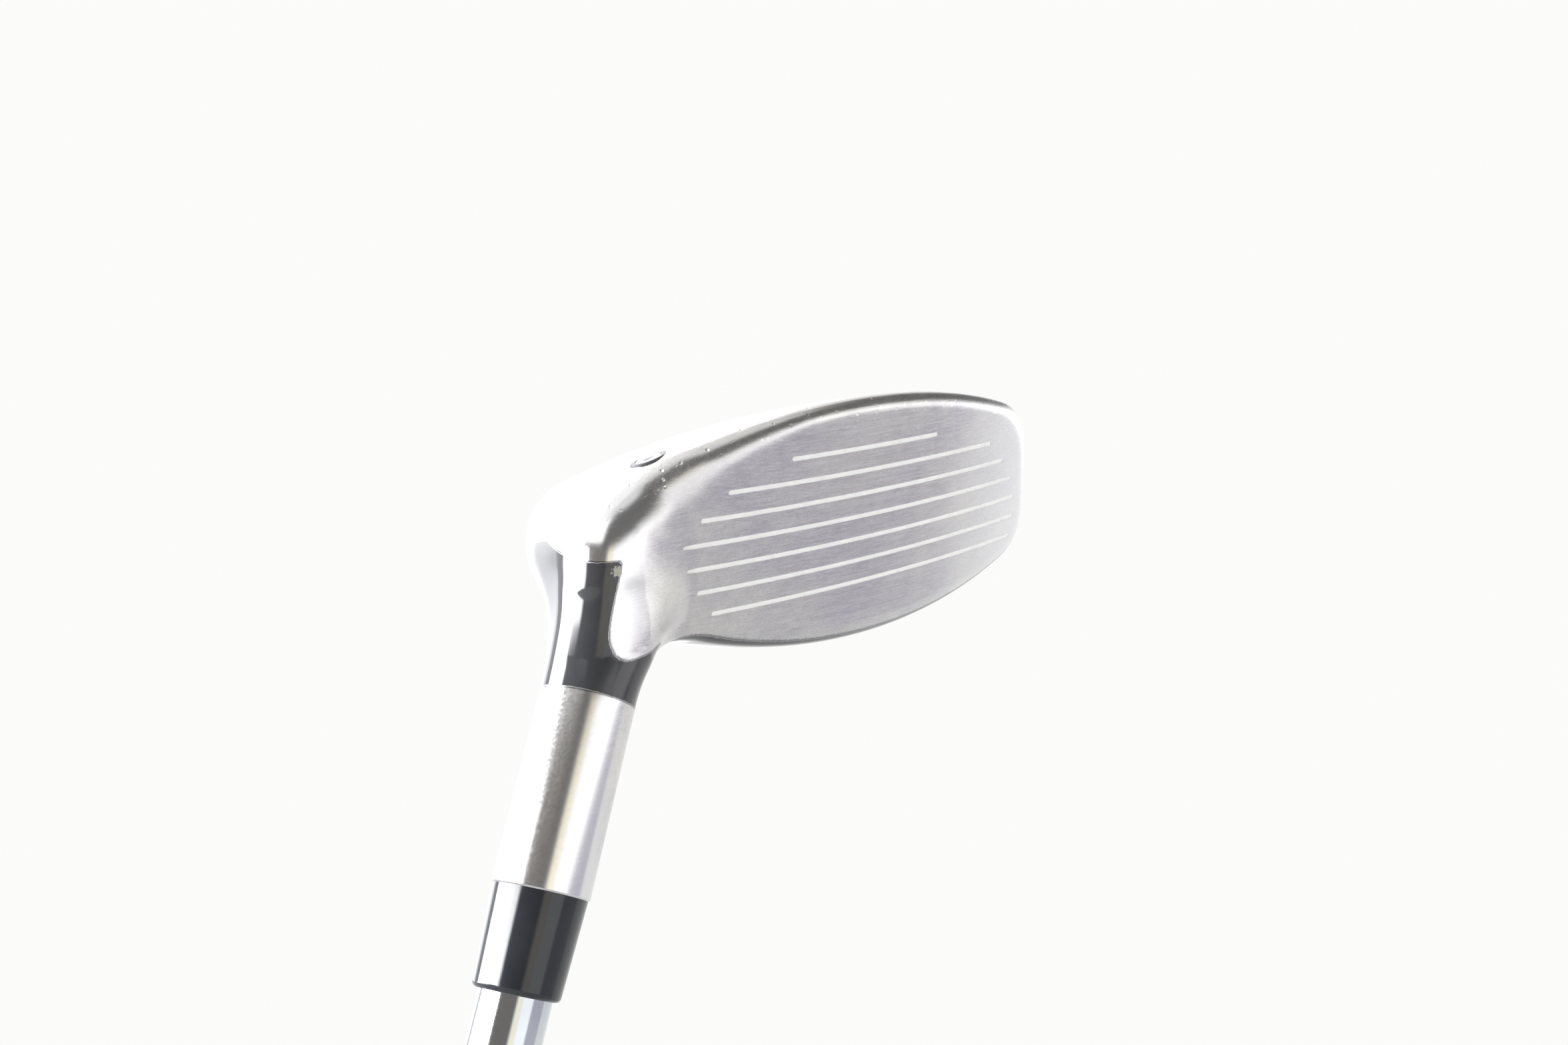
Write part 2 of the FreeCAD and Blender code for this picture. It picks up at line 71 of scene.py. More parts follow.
# Lengths along the hosel axis are counted from AXIS_POINT towards the grip.
HOSEL_RADIUS = 6.35
NECK_REACH = 21.5
HOSEL_REACH = 46.8
MOUTH_CHAMFER = 0.2
SPARE_REACH = 2
BORE_RADIUS = 4.83
BORE_DEPTH = 33.0

# At the head the neck is a deep slab, which tapers into the round hosel.
SLAB_RADIUS = 10.7
SLAB_SHIFT = np.array((1.75, 1.6, 0.45))
SLAB_DEPTH = 10.8
SLAB_RUN = np.array((0.38, -0.92, -0.04))
SLAB_SINK = 5.0
TAPER_ROUNDING = 5.0
NECK_SHRINK = 8.5

# The face runs out onto the neck over a hollow milled tongue.
TONGUE_START = -5.5
TONGUE_RADIUS = 19.4
TONGUE_SWEEP = math.radians(56)
TONGUE_DEPTH = -2.8
TONGUE_HEEL = -40.0
TONGUE_SLOPE = math.tan(math.radians(10))
TONGUE_RISE_FROM = -44.0

# Widths of the blends between the forms.
SKIRT_BLEND = 6.0
HEEL_SKIRT_BLEND = 9.0
NECK_SKIRT_BLEND = 14.0
PLAN_BLEND = 5.0
TOP_EDGE_BLEND = 2.4
LEADING_EDGE_BLEND = 6.5
NECK_FRONT_BLEND = 8.0
NECK_BACK_BLEND = 13.0
TONGUE_EDGE_BLEND = 6.0
HOLLOW_BLEND = 8.0
PLAIN_BLEND = 1.5

# Where the blends change, as the start and end of the change in x, z, height up the
# face or reach along the hosel axis.
NECK_BACK_SPAN = (-28, -54)
HEEL_SKIRT_SPAN = (-24, -44)
NECK_SHRINK_SPAN = (0, 14)
NECK_SKIRT_SPAN = (4, 18)
SLAB_SINK_SPAN = (-2, -14)
LOW_EDGE_SPAN = (4, -8)
HEEL_EDGE_SPAN = (-10, -38)
TOE_EDGE_SHARE = 0.45
HOLLOW_REACH_SPAN = (-10, 6)
HOLLOW_HEEL_SPAN = (-27, -43)
HOLLOW_CROWN_SPAN = (7, 15)

# Spacing of the outer and inner nets and rounds of evening out.
OUTER_STEP = 0.6
OUTER_ROUNDS = 4
INNER_STEP = 1.3
INNER_ROUNDS = 2
HEAD_LOW = (-72.0, -62.0, -23.0)
HEAD_HIGH = (47.0, 5.0, 44.0)

CROWN_WALL = 0.9
SKIRT_WALL = 1.6
SOLE_WALL = 2.2
FACE_WALL = 2.6
COLUMN_WALL_RADIUS = 8.0
CAVITY_ROUNDING = 3
CAVITY_CORNER_ROUNDING = 2

# Heel end and toe end of each score line, from the sole side to the crown side.
SCORE_LINES = [
    (-17.2, 13.7),
    (-28.3, 28.4),
    (-32.7, 32.5),
    (-35.7, 35.7),
    (-34.9, 37.0),
    (-32.7, 37.7),
    (-30.0, 37.2),
]
LINE_PITCH = 3.5
LINE_WIDTH = 0.7
LINE_DEPTH = 0.4

MARK_CENTRE = (-36.0, -5.2)
MARK_RADIUS = 2.6
MARK_LINE = 0.7
MARK_DOT_RADIUS = 0.8
MARK_DEPTH = 0.3
MARK_GAP = 0.06
MARK_STEPS = 64
CUTTER_TOP = 1.0

# The nicked band along the leading edge, behind the face.
WEAR_DEPTH = -3.2
WEAR_SPREAD = 2.2

CHIP_PLACE = (-47.8, -0.6, 0.3)
CHIP_RADIUS = 0.7

# Edges shorter than this are left over from carving.
SLIVER = 0.002

# ------------------------------------------------------------------ placing the head

mouth_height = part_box("ferrule")[1][2] / MM
flip_tilt = (math.pi / 2 - LIE) / 2
flip = Matrix.Rotation(math.pi, 3, Vector((math.cos(flip_tilt), 0, math.sin(flip_tilt))))
axis_place = Vector((0, 0, mouth_height + HOSEL_REACH))
HEAD_PLACE = Matrix.LocRotScale(
    (axis_place - flip @ Vector(AXIS_POINT)) * MM, flip, Vector((MM, MM, MM)))


def head_direction(vector):
    """A direction of the address frame, in the CAD frame."""
    return (flip @ Vector(vector)).normalized()


# ------------------------------------------------------------------ the head's form


def blend_max(a, b, width):
    """The larger of two distances, rounded where they are within width."""
    near = np.maximum(width - np.abs(a - b), 0) / width
    return np.maximum(a, b) + near * near * width / 4


def blend_min(a, b, width):
    return -blend_max(-a, -b, width)


def ease(t):
    t = np.clip(t, 0, 1)
    return t * t * (3 - 2 * t)


def eased(value, span):
    """Zero before the span's start, one past its end, smooth between them."""
    start, end = span
    return ease((value - start) / (end - start))


def ellipsoid(points, centre, half):
    offset = points - centre
    level = np.linalg.norm(offset / half, axis=-1)
    slope = np.linalg.norm(offset / half ** 2, axis=-1)
    return level * (level - 1) / np.maximum(slope, 1e-9)


def along_axis(points):
    """Reach along the hosel axis and distance from it."""
    offset = points - AXIS_POINT
    reach = offset @ TO_GRIP
    across = np.sqrt(np.maximum((offset * offset).sum(-1) - reach ** 2, 0))
    return reach, across


def perpendicular_to_axis(vectors):
    return vectors - (vectors @ TO_GRIP)[..., None] * TO_GRIP


def before_neck(points):
    """Distance outside the neck and hosel."""
    offset = points - AXIS_POINT
    reach = offset @ TO_GRIP
    taper = (1 - np.clip(blend_max(reach, 0, TAPER_ROUNDING) / NECK_REACH, 0, 1)) ** 2
    offset = perpendicular_to_axis(offset - taper[..., None] * SLAB_SHIFT)
    run = perpendicular_to_axis(SLAB_RUN)
    run = run / np.linalg.norm(run)
    depth = np.clip(offset @ run, 0, SLAB_DEPTH * taper)
    across = np.linalg.norm(offset - depth[..., None] * run, axis=-1)
    radius = HOSEL_RADIUS + (SLAB_RADIUS - HOSEL_RADIUS) * taper
    return across - radius + SLAB_SINK * eased(reach, SLAB_SINK_SPAN)


def before_tongue(points):
    """Distance in front of the milled surface that carries the face onto the neck."""
    x = points[..., 0]
    over = points @ UP_FACE - TONGUE_START - np.maximum(x - TONGUE_RISE_FROM, 0)
    over = np.maximum(over, 0)
    limit = TONGUE_RADIUS * math.sin(TONGUE_SWEEP)
    curved = np.minimum(over, limit)
    hollow = TONGUE_RADIUS - np.sqrt(TONGUE_RADIUS ** 2 - curved ** 2)
    hollow = hollow + (over - curved) * math.tan(TONGUE_SWEEP)
    lean = np.where(over < limit, np.arcsin(curved / TONGUE_RADIUS), TONGUE_SWEEP)
    level = TONGUE_DEPTH + hollow - TONGUE_SLOPE * (x - TONGUE_HEEL)
    return (points @ FACE_NORMAL - level) * np.cos(lean)


def before_face(points):
    """Distance in front of the face's ball."""
    return np.linalg.norm(points + FACE_RADIUS * FACE_NORMAL, axis=-1) - FACE_RADIUS


def plan_edge(points):
    return np.hypot(points[..., 0] - PLAN_CENTRE[0], points[..., 1] - PLAN_CENTRE[1]) - PLAN_RADIUS


def between(low, high, share):
    return low + (high - low) * share


def edge_blend(points):
    """Width of the edge round the face: crisp at the crown, full at the sole and heel."""
    low = eased(points[..., 2], LOW_EDGE_SPAN)
    heel = eased(points[..., 0], HEEL_EDGE_SPAN)
    return between(TOP_EDGE_BLEND, LEADING_EDGE_BLEND * between(TOE_EDGE_SHARE, 1, heel), low)


def hollow_blend(points, reach):
    """Width of the hollow between head and neck: none on the face's flat part."""
    heelward = eased(points[..., 0], HOLLOW_HEEL_SPAN)
    crownward = eased(points @ UP_FACE, HOLLOW_CROWN_SPAN)
    return between(PLAIN_BLEND, HOLLOW_BLEND,
                   eased(reach, HOLLOW_REACH_SPAN) * np.maximum(heelward, crownward))


def head_field(points):
    """Negative inside the head's outer form, near zero slope one at its surface."""
    reach = (points - AXIS_POINT) @ TO_GRIP
    neck = before_neck(points)
    sole = ellipsoid(points, SOLE_CENTRE, SOLE_HALF)
    head = blend_max(ellipsoid(points, CROWN_CENTRE, CROWN_HALF), plan_edge(points), PLAN_BLEND)
    backward = eased(points[..., 0], NECK_BACK_SPAN)
    head = blend_min(head, neck + NECK_SHRINK * eased(reach, NECK_SHRINK_SPAN),
                     between(NECK_FRONT_BLEND, NECK_BACK_BLEND, backward))
    heelward = eased(points[..., 0], HEEL_SKIRT_SPAN)
    head = blend_max(head, sole, between(SKIRT_BLEND, HEEL_SKIRT_BLEND, heelward))
    head = blend_max(head, before_face(points), edge_blend(points))
    neck = blend_max(neck, before_tongue(points), TONGUE_EDGE_BLEND)
    neck_skirt = between(NECK_SKIRT_BLEND, PLAIN_BLEND, eased(reach, NECK_SKIRT_SPAN))
    neck = blend_max(neck, sole, neck_skirt)
    whole = blend_min(head, neck, hollow_blend(points, reach))
    return blend_max(whole, reach - HOSEL_REACH - SPARE_REACH, 0.6)


def cavity_field(points):
    """Negative inside the head's cavity, clear of the heel column."""
    _, across = along_axis(points)
    crown = ellipsoid(points, CROWN_CENTRE, CROWN_HALF) + CROWN_WALL
    skirt = plan_edge(points) + SKIRT_WALL
    sole = ellipsoid(points, SOLE_CENTRE, SOLE_HALF) + SOLE_WALL
    front = before_face(points) + FACE_WALL
    over = blend_max(crown, skirt, CAVITY_ROUNDING)
    under = blend_max(sole, front, CAVITY_CORNER_ROUNDING)
    hollow = blend_max(over, under, CAVITY_ROUNDING)
    return blend_max(hollow, COLUMN_WALL_RADIUS - across, CAVITY_CORNER_ROUNDING)


def slope_of(field, points, step=0.05):
    """Gradient of a field by central differences."""
    columns = []
    for axis in np.eye(3):
        columns.append(field(points + axis * step) - field(points - axis * step))
    return np.stack(columns, -1) / (2 * step)


def onto_surface(field, points, rounds):
    for _ in range(rounds):
        slope = slope_of(field, points)
        strength = np.maximum((slope * slope).sum(-1), 0.1)
        points = points - slope * (field(points) / strength)[:, None]
    return points


def surface_net(field, low, high, step):
    """Vertices and quads of the closed surface field = 0: one vertex in each crossed cell."""
    counts = [int((b - a) / step) + 1 for a, b in zip(low, high)]
    ticks = [a + step * np.arange(count) for a, count in zip(low, counts)]
    grid = np.stack(np.meshgrid(*ticks, indexing="ij"), -1).reshape(-1, 3)
    value = field(grid)
    inside = value < 0
    strides = (counts[1] * counts[2], counts[2], 1)
    total = np.zeros((len(grid), 3))
    hits = np.zeros(len(grid))
    rings = []
    for axis, stride in enumerate(strides):
        edge = np.nonzero(inside[:-stride] != inside[stride:])[0]
        crossing = grid[edge].copy()
        crossing[:, axis] += step * value[edge] / (value[edge] - value[edge + stride])
        side = strides[axis - 2]
        rise = strides[axis - 1]
        ring = np.stack([edge, edge - side, edge - side - rise, edge - rise], -1)
        for cell in ring.T:
            hits += np.bincount(cell, minlength=len(grid))
            for part in range(3):
                total[:, part] += np.bincount(cell, crossing[:, part], len(grid))
        rings.append(np.where(inside[edge][:, None], ring, ring[:, ::-1]))
    used = np.nonzero(hits)[0]
    number = np.zeros(len(grid), int)
    number[used] = np.arange(len(used))
    return total[used] / hits[used][:, None], number[np.concatenate(rings)]


def even_out(field, vertices, quads, rounds):
    """Slide the vertices along the surface towards their neighbours' middle."""
    ends = np.concatenate([quads, np.roll(quads, -1, axis=1)])
    others = np.concatenate([np.roll(quads, -1, axis=1), quads])
    ends = ends.ravel()
    others = others.ravel()
    degree = np.bincount(ends, minlength=len(vertices))[:, None]
    for _ in range(rounds):
        middle = np.stack([np.bincount(ends, vertices[others, part], len(vertices))
                           for part in range(3)], -1) / degree
        vertices = onto_surface(field, (vertices + middle) / 2, 1)
    return onto_surface(field, vertices, 6)


def mesh_object(name, vertices, faces):
    mesh = bpy.data.meshes.new(name)
    mesh.from_pydata([tuple(v) for v in vertices], [], [tuple(f) for f in faces])
    mesh.update()
    piece = bpy.data.objects.new(name, mesh)
    bpy.context.scene.collection.objects.link(piece)
    return piece


def open_mouth(mesh):
    """Cut the hosel square at its mouth and sink the bore for the shaft."""
    grid = bmesh.new()
    grid.from_mesh(mesh)
    everything = grid.verts[:] + grid.edges[:] + grid.faces[:]
    cut_reach = HOSEL_REACH - MOUTH_CHAMFER
    bmesh.ops.bisect_plane(grid, geom=everything, plane_co=AXIS_POINT + TO_GRIP * cut_reach,
                           plane_no=TO_GRIP, clear_outer=True)
    rim = [edge for edge in grid.edges if edge.is_boundary]
    walls = [(HOSEL_RADIUS - MOUTH_CHAMFER, HOSEL_REACH), (BORE_RADIUS, HOSEL_REACH),
             (BORE_RADIUS, HOSEL_REACH - BORE_DEPTH)]
    for radius, reach in walls:
        made = bmesh.ops.extrude_edge_only(grid, edges=rim)["geom"]
        rim = [item for item in made if isinstance(item, bmesh.types.BMEdge) and item.is_boundary]
        for vertex in (item for item in made if isinstance(item, bmesh.types.BMVert)):
            offset = np.array(vertex.co) - AXIS_POINT
            sideways = offset - TO_GRIP * (offset @ TO_GRIP)
            sideways *= radius / np.linalg.norm(sideways)
            vertex.co = AXIS_POINT + TO_GRIP * reach + sideways
    bmesh.ops.contextual_create(grid, geom=rim)
    grid.to_mesh(mesh)
    grid.free()


# ------------------------------------------------------------------ grooves and marks


def face_point(across, up, offset):
    """A point on the face's plane directions, offset mm out of its ball."""
    out = math.sqrt((FACE_RADIUS + offset) ** 2 - across ** 2 - up ** 2) - FACE_RADIUS
    return np.array((across, 0, 0)) + UP_FACE * up + FACE_NORMAL * out


def sole_point(x, y, offset):
    """A point of the sole at x, y, offset mm out of it."""
    half = SOLE_HALF + offset
    share = 1 - ((x - SOLE_CENTRE[0]) / half[0]) ** 2 - ((y - SOLE_CENTRE[1]) / half[1]) ** 2
    return np.array((x, y, SOLE_CENTRE[2] - half[2] * math.sqrt(share)))


def add_channel(grid, stations, place, floor, top, closed=False):
    """A bar along stations (a, b, half width) of a surface, from floor to top offsets."""
    rows = []
    count = len(stations)
    for number, (a, b, half) in enumerate(stations):
        last = stations[number - 1 if closed or number else 0]
        following = stations[(number + 1) % count if closed or number < count - 1 else number]
        run = math.atan2(following[1] - last[1], following[0] - last[0])
        da = -half * math.sin(run)
        db = half * math.cos(run)
        corners = [place(a - da, b - db, floor), place(a + da, b + db, floor),
                   place(a + da, b + db, top), place(a - da, b - db, top)]
        rows.append([grid.verts.new(corner) for corner in corners])
    pairs = list(zip(rows, rows[1:]))
    if closed:
        pairs.append((rows[-1], rows[0]))
    else:
        grid.faces.new(rows[0])
        grid.faces.new(rows[-1][::-1])
    for first, second in pairs:
        for corner in range(4):
            after = (corner + 1) % 4
            grid.faces.new((first[corner], first[after], second[after], second[corner]))


def round_ended(start, end, b, radius, spacing=2.0, end_steps=6):
    """Stations of a bar with half-round ends, from start to end along a."""
    turns = [math.pi / 2 * (step + 0.3) / end_steps for step in range(end_steps)]
    nose = [(radius * (1 - math.cos(turn)), radius * math.sin(turn)) for turn in turns]
    stations = [(start + inset, b, half) for inset, half in nose]
    straight = end - start - 2 * radius
    parts = max(int(straight / spacing), 1)
    if straight > 0:
        stations += [(start + radius + straight * part / parts, b, radius)
                     for part in range(parts + 1)]
    stations += [(end - inset, b, half) for inset, half in reversed(nose)]
    return stations


def groove_cutter():
    """Everything that is engraved in the head, as one mesh of separate bars."""
    grid = bmesh.new()
    middle = len(SCORE_LINES) // 2
    for number, (heel, toe) in enumerate(SCORE_LINES):
        line = round_ended(heel, toe, (number - middle) * LINE_PITCH, LINE_WIDTH / 2)
        add_channel(grid, line, face_point, -LINE_DEPTH, CUTTER_TOP)
    x, y = MARK_CENTRE
    ring_radius = MARK_RADIUS - MARK_LINE / 2
    ring = []
    for step in range(MARK_STEPS):
        turn = math.tau * step / MARK_STEPS
        ring.append((x + ring_radius * math.cos(turn), y + ring_radius * math.sin(turn),
                     MARK_LINE / 2 + MARK_GAP))
    add_channel(grid, ring, sole_point, -MARK_DEPTH, CUTTER_TOP, closed=True)
    dot_radius = MARK_DOT_RADIUS + MARK_GAP
    dot = round_ended(x - dot_radius, x + dot_radius, y, dot_radius, end_steps=12)
    add_channel(grid, dot, sole_point, -MARK_DEPTH, CUTTER_TOP)
    bmesh.ops.recalc_face_normals(grid, faces=grid.faces)
    mesh = bpy.data.meshes.new("grooves")
    grid.to_mesh(mesh)
    grid.free()
    return bpy.data.objects.new("grooves", mesh)


def carve(piece, cutter):
    """Subtract the cutter from the piece and keep the result as the piece's mesh."""
    bpy.context.scene.collection.objects.link(cutter)
    boolean = piece.modifiers.new("carve", "BOOLEAN")
    boolean.operation = "DIFFERENCE"
    boolean.solver = "EXACT"
    boolean.object = cutter
    bpy.context.view_layer.update()
    carved = bpy.data.meshes.new_from_object(
        piece.evaluated_get(bpy.context.evaluated_depsgraph_get()))
    piece.modifiers.clear()
    piece.data = carved
    bpy.data.objects.remove(cutter)
    drop_slivers(carved)


def drop_slivers(mesh):
    """Remove what carving leaves over: tiny edges and pairs of faces on the same corners."""
    grid = bmesh.new()
    grid.from_mesh(mesh)
    bmesh.ops.dissolve_degenerate(grid, dist=SLIVER, edges=grid.edges)
    bmesh.ops.triangulate(grid, faces=[face for face in grid.faces if len(face.verts) > 4])
    sharing = {}
    for face in grid.faces:
        sharing.setdefault(frozenset(face.verts), []).append(face)
    flaps = [face for group in sharing.values() if len(group) > 1 for face in group]
    bmesh.ops.delete(grid, geom=flaps, context="FACES")
    grid.to_mesh(mesh)
    grid.free()


# ------------------------------------------------------------------ head paint masks


def bare_distance(points):
    """Distance inside the unpainted metal: face, tongue, sole side and hosel."""
    reach, _ = along_axis(points)
    x, y, z = points.T
    up = points @ UP_FACE
    heel_edge = x + 47.2 + 0.43 * up
    crown_edge = 11.6 + np.maximum(0, x + 41) * 1.2 - up
    front = blend_min(heel_edge, crown_edge, 4.5)
    front = np.minimum(front, np.minimum(before_face(points) + 0.6, y + 11))
    sole = -0.7 + 0.33 * np.maximum(y, -14) - z
    return np.maximum(np.maximum(front, sole), reach - NECK_REACH)


def polished(points):
    """One on the mirror-polished hosel, heel column and sole, zero on the brushed face."""
    past_heel = points[:, 0] + 46.2 + 0.43 * (points @ UP_FACE)
    return 1 - eased(before_face(points), (-7, -4)) * eased(past_heel, (0, 4))


def edge_wear(points):
    """One along the leading edge, where the metal is nicked."""
    depth = before_face(points)
    low = eased(points[:, 2], (-4, -10))
    return np.exp(-((depth - WEAR_DEPTH) / WEAR_SPREAD) ** 2) * low


def store(mesh, name, kind, values):
    field = "value" if kind == "FLOAT" else "vector"
    layer = mesh.attributes.new(name, kind, "POINT")
    layer.data.foreach_set(field, np.asarray(values, np.float32).ravel())


def shade_from_field(mesh, field, crease=0.82, tolerance=0.05):
    """Smooth normals from the field, flat ones on the walls that were cut into it."""
    count = len(mesh.vertices)
    points = np.empty(count * 3)
    mesh.vertices.foreach_get("co", points)
    points = points.reshape(-1, 3)
    slope = slope_of(field, points)
    smooth = slope / np.maximum(np.linalg.norm(slope, axis=1), 1e-9)[:, None]
    faces = np.empty(len(mesh.polygons) * 3)
    mesh.polygons.foreach_get("normal", faces)
    faces = faces.reshape(-1, 3)
    corners = np.empty(len(mesh.loops), int)
    mesh.loops.foreach_get("vertex_index", corners)
    sizes = np.empty(len(mesh.polygons), int)
    mesh.polygons.foreach_get("loop_total", sizes)
    flat = np.repeat(faces, sizes, axis=0)
    normals = smooth[corners]
    aligned = (normals * flat).sum(-1) > crease
    near = np.abs(field(points))[corners] < tolerance
    normals = np.where((aligned & near)[:, None], normals, flat)
    mesh.polygons.foreach_set("use_smooth", [True] * len(mesh.polygons))
    mesh.normals_split_custom_set(normals.tolist())
    return points


def make_head():
    """The cast head and hosel as one shell, hollow, grooved and bored for the shaft."""
    vertices, quads = surface_net(head_field, HEAD_LOW, HEAD_HIGH, OUTER_STEP)
    vertices = even_out(head_field, vertices, quads, OUTER_ROUNDS)
    inner, inner_quads = surface_net(cavity_field, HEAD_LOW, HEAD_HIGH, INNER_STEP)
    inner = even_out(cavity_field, inner, inner_quads, INNER_ROUNDS)
    inner_quads = inner_quads[:, ::-1] + len(vertices)
    shell = mesh_object("head_shell", np.concatenate([vertices, inner]),
                        np.concatenate([quads, inner_quads]))
    open_mouth(shell.data)
    carve(shell, groove_cutter())
    points = shade_from_field(shell.data, head_field)
    store(shell.data, "bare", "FLOAT", bare_distance(points))
    store(shell.data, "polish", "FLOAT", polished(points))
    store(shell.data, "wear", "FLOAT", edge_wear(points))
    store(shell.data, "place", "FLOAT_VECTOR", points)
    shell.data.transform(HEAD_PLACE)
    shell.data.update()
    return shell


# ------------------------------------------------------------------ material tools


class Nodes:
    """Short calls that add shader nodes to a tree."""

    def __init__(self, tree):
        self.tree = tree

    def node(self, kind, inputs=None, **settings):
        made = self.tree.nodes.new("ShaderNode" + kind)
        for name, value in settings.items():
            setattr(made, name, value)
        for key, value in (inputs or {}).items():
            self.feed(made.inputs[key], value)
        return made

    def feed(self, socket, value):
        if isinstance(value, bpy.types.NodeSocket):
            self.tree.links.new(value, socket)
        else:
            socket.default_value = value

    def math(self, operation, a, b=0.0):
        made = self.node("Math", {0: a, 1: b}, operation=operation)
        return made.outputs[0]

    def mix(self, factor, a, b):
        """A colour between a and b."""
        made = self.node("Mix", data_type="RGBA")
        self.feed(made.inputs["Factor"], factor)
        self.feed(made.inputs["A"], a)
        self.feed(made.inputs["B"], b)
        return made.outputs["Result"]


class Paint(Nodes):
    """A material with one Principled shader, put together by short calls."""

    def __init__(self, name, **sockets):
        self.material = bpy.data.materials.new(name)
        self.material.use_nodes = True
        super().__init__(self.material.node_tree)
        self.shader = self.tree.nodes["Principled BSDF"]
        for socket, value in sockets.items():
            self.shader.inputs[socket.replace("_", " ")].default_value = value

    def set(self, socket, value):
        self.feed(self.shader.inputs[socket], value)

    def attribute(self, name, vector=False):
        made = self.node("Attribute", attribute_name=name)
        return made.outputs["Vector" if vector else "Fac"]

    def object_place(self):
        """Object coordinates in millimetres."""
        place = self.node("TexCoord").outputs["Object"]
        return self.stretch(place, (1 / MM, 1 / MM, 1 / MM))

    def stretch(self, vector, scale):
        made = self.node("VectorMath", {0: vector, 1: scale}, operation="MULTIPLY")
        return made.outputs[0]

    def noise(self, vector, scale, detail=3.0, roughness=0.5):
        made = self.node("TexNoise", {"Vector": vector, "Scale": scale, "Detail": detail,
                                      "Roughness": roughness})
        return made.outputs["Fac"]

    def cells(self, vector, scale):
        made = self.node("TexVoronoi", {"Vector": vector, "Scale": scale})
        return made.outputs["Distance"]

    def ramp(self, value, low, high, start=0.0, end=1.0):
        made = self.node("MapRange", {"Value": value, "From Min": low, "From Max": high,
                                      "To Min": start, "To Max": end})
        return made.outputs["Result"]

    def bump(self, height, depth, normal=None):
        """Relief depth mm deep from a height of 0 to 1."""
        inputs = {"Height": height, "Distance": depth * MM, "Strength": 1.0}
        if normal is not None:
            inputs["Normal"] = normal
        made = self.node("Bump", inputs)
        self.set("Normal", made.outputs["Normal"])
        return made.outputs["Normal"]


def rgb(red, green, blue):
    return (red, green, blue, 1.0)


STEEL_DARK = rgb(0.435, 0.425, 0.455)
STEEL_LIGHT = rgb(0.545, 0.535, 0.515)
STEEL_STAIN = rgb(0.38, 0.36, 0.37)
STEEL_SCRATCH = rgb(0.66, 0.66, 0.66)
# Painted reflection: the light grey that the face turns to towards the toe.
STEEL_PAINTED_TOE_SHEEN = rgb(0.82, 0.82, 0.84)
STEEL_POLISHED = rgb(0.62, 0.62, 0.63)
# Painted shade: the dark line along the paint's edge.
STEEL_PAINTED_EDGE_SHADE = rgb(0.16, 0.16, 0.17)
STEEL_CHIP = rgb(0.24, 0.24, 0.20)
STEEL_NICK = rgb(0.95, 0.95, 0.93)
LACQUER_DARK = rgb(0.030, 0.031, 0.035)
LACQUER_LIGHT = rgb(0.038, 0.039, 0.043)
# Where the painted reflection lightens the face, in mm across towards the toe.
TOE_SHEEN_SPAN = (14.0, 42.0)
PAINT_STEP = 0.03
NICK_DEPTH = 0.10
BRUSH_DEPTH = 0.012


def paint_edge(paint, place):
    """Distance inside the bare metal, raggedly edged, and distance inside the paint's chip."""
    ragged = paint.noise(place, 2.2, detail=4.0, roughness=0.7)
    edge = paint.math("ADD", paint.attribute("bare"), paint.ramp(ragged, 0.3, 0.7, -0.06, 0.06))
    chip = paint.node("VectorMath", {0: place, 1: CHIP_PLACE}, operation="DISTANCE")
    chip = paint.math("SUBTRACT", CHIP_RADIUS, chip.outputs["Value"])
    chip = paint.math("ADD", chip, paint.ramp(ragged, 0.3, 0.7, -0.45, 0.45))
    return paint.math("MAXIMUM", edge, chip), chip


def brush_marks(paint, place):
    """Long scratches along the face, and the whole brushed grain."""
    scratches = paint.noise(paint.stretch(place, (0.10, 3.2, 3.2)), 1.0, 4.0, 0.7)
    fine = paint.noise(paint.stretch(place, (0.45, 9.0, 9.0)), 1.0, 2.0, 0.6)
    brush = paint.math("ADD", paint.math("MULTIPLY", scratches, 0.6),
                       paint.math("MULTIPLY", fine, 0.4))
    return scratches, brush


def nick_marks(paint, place):
    """One on the nicks of the leading edge."""
    nicks = paint.cells(place, 0.8)
    nick = paint.math("MULTIPLY", paint.ramp(nicks, 0.26, 0.12), paint.attribute("wear"))
    patchy = paint.ramp(paint.noise(place, 0.45), 0.46, 0.58)
    return paint.math("MULTIPLY", nick, patchy)


def steel_colour(paint, place, mottle, brush):
    """Mottled, stained and brushed steel, with a painted reflection lightening the toe."""
    stain = paint.noise(paint.stretch(place, (0.35, 0.3, 0.3)), 1.0, 4.0, 0.7)
    steel = paint.mix(paint.ramp(mottle, 0.35, 0.65), STEEL_DARK, STEEL_LIGHT)
    steel = paint.mix(paint.ramp(stain, 0.50, 0.70, 0.0, 0.35), steel, STEEL_STAIN)
    steel = paint.mix(paint.ramp(brush, 0.42, 0.62, 0.0, 0.45), steel, STEEL_SCRATCH)
    # Painted reflection: the steel is mixed towards light grey across the toe, standing in for the
    # studio light it reflects there.
    across = paint.node("VectorMath", {0: place, 1: (1, 0, 0)}, operation="DOT_PRODUCT")
    toe = paint.ramp(across.outputs["Value"], TOE_SHEEN_SPAN[0], TOE_SHEEN_SPAN[1], 0.0, 0.8)
    return paint.mix(toe, steel, STEEL_PAINTED_TOE_SHEEN)


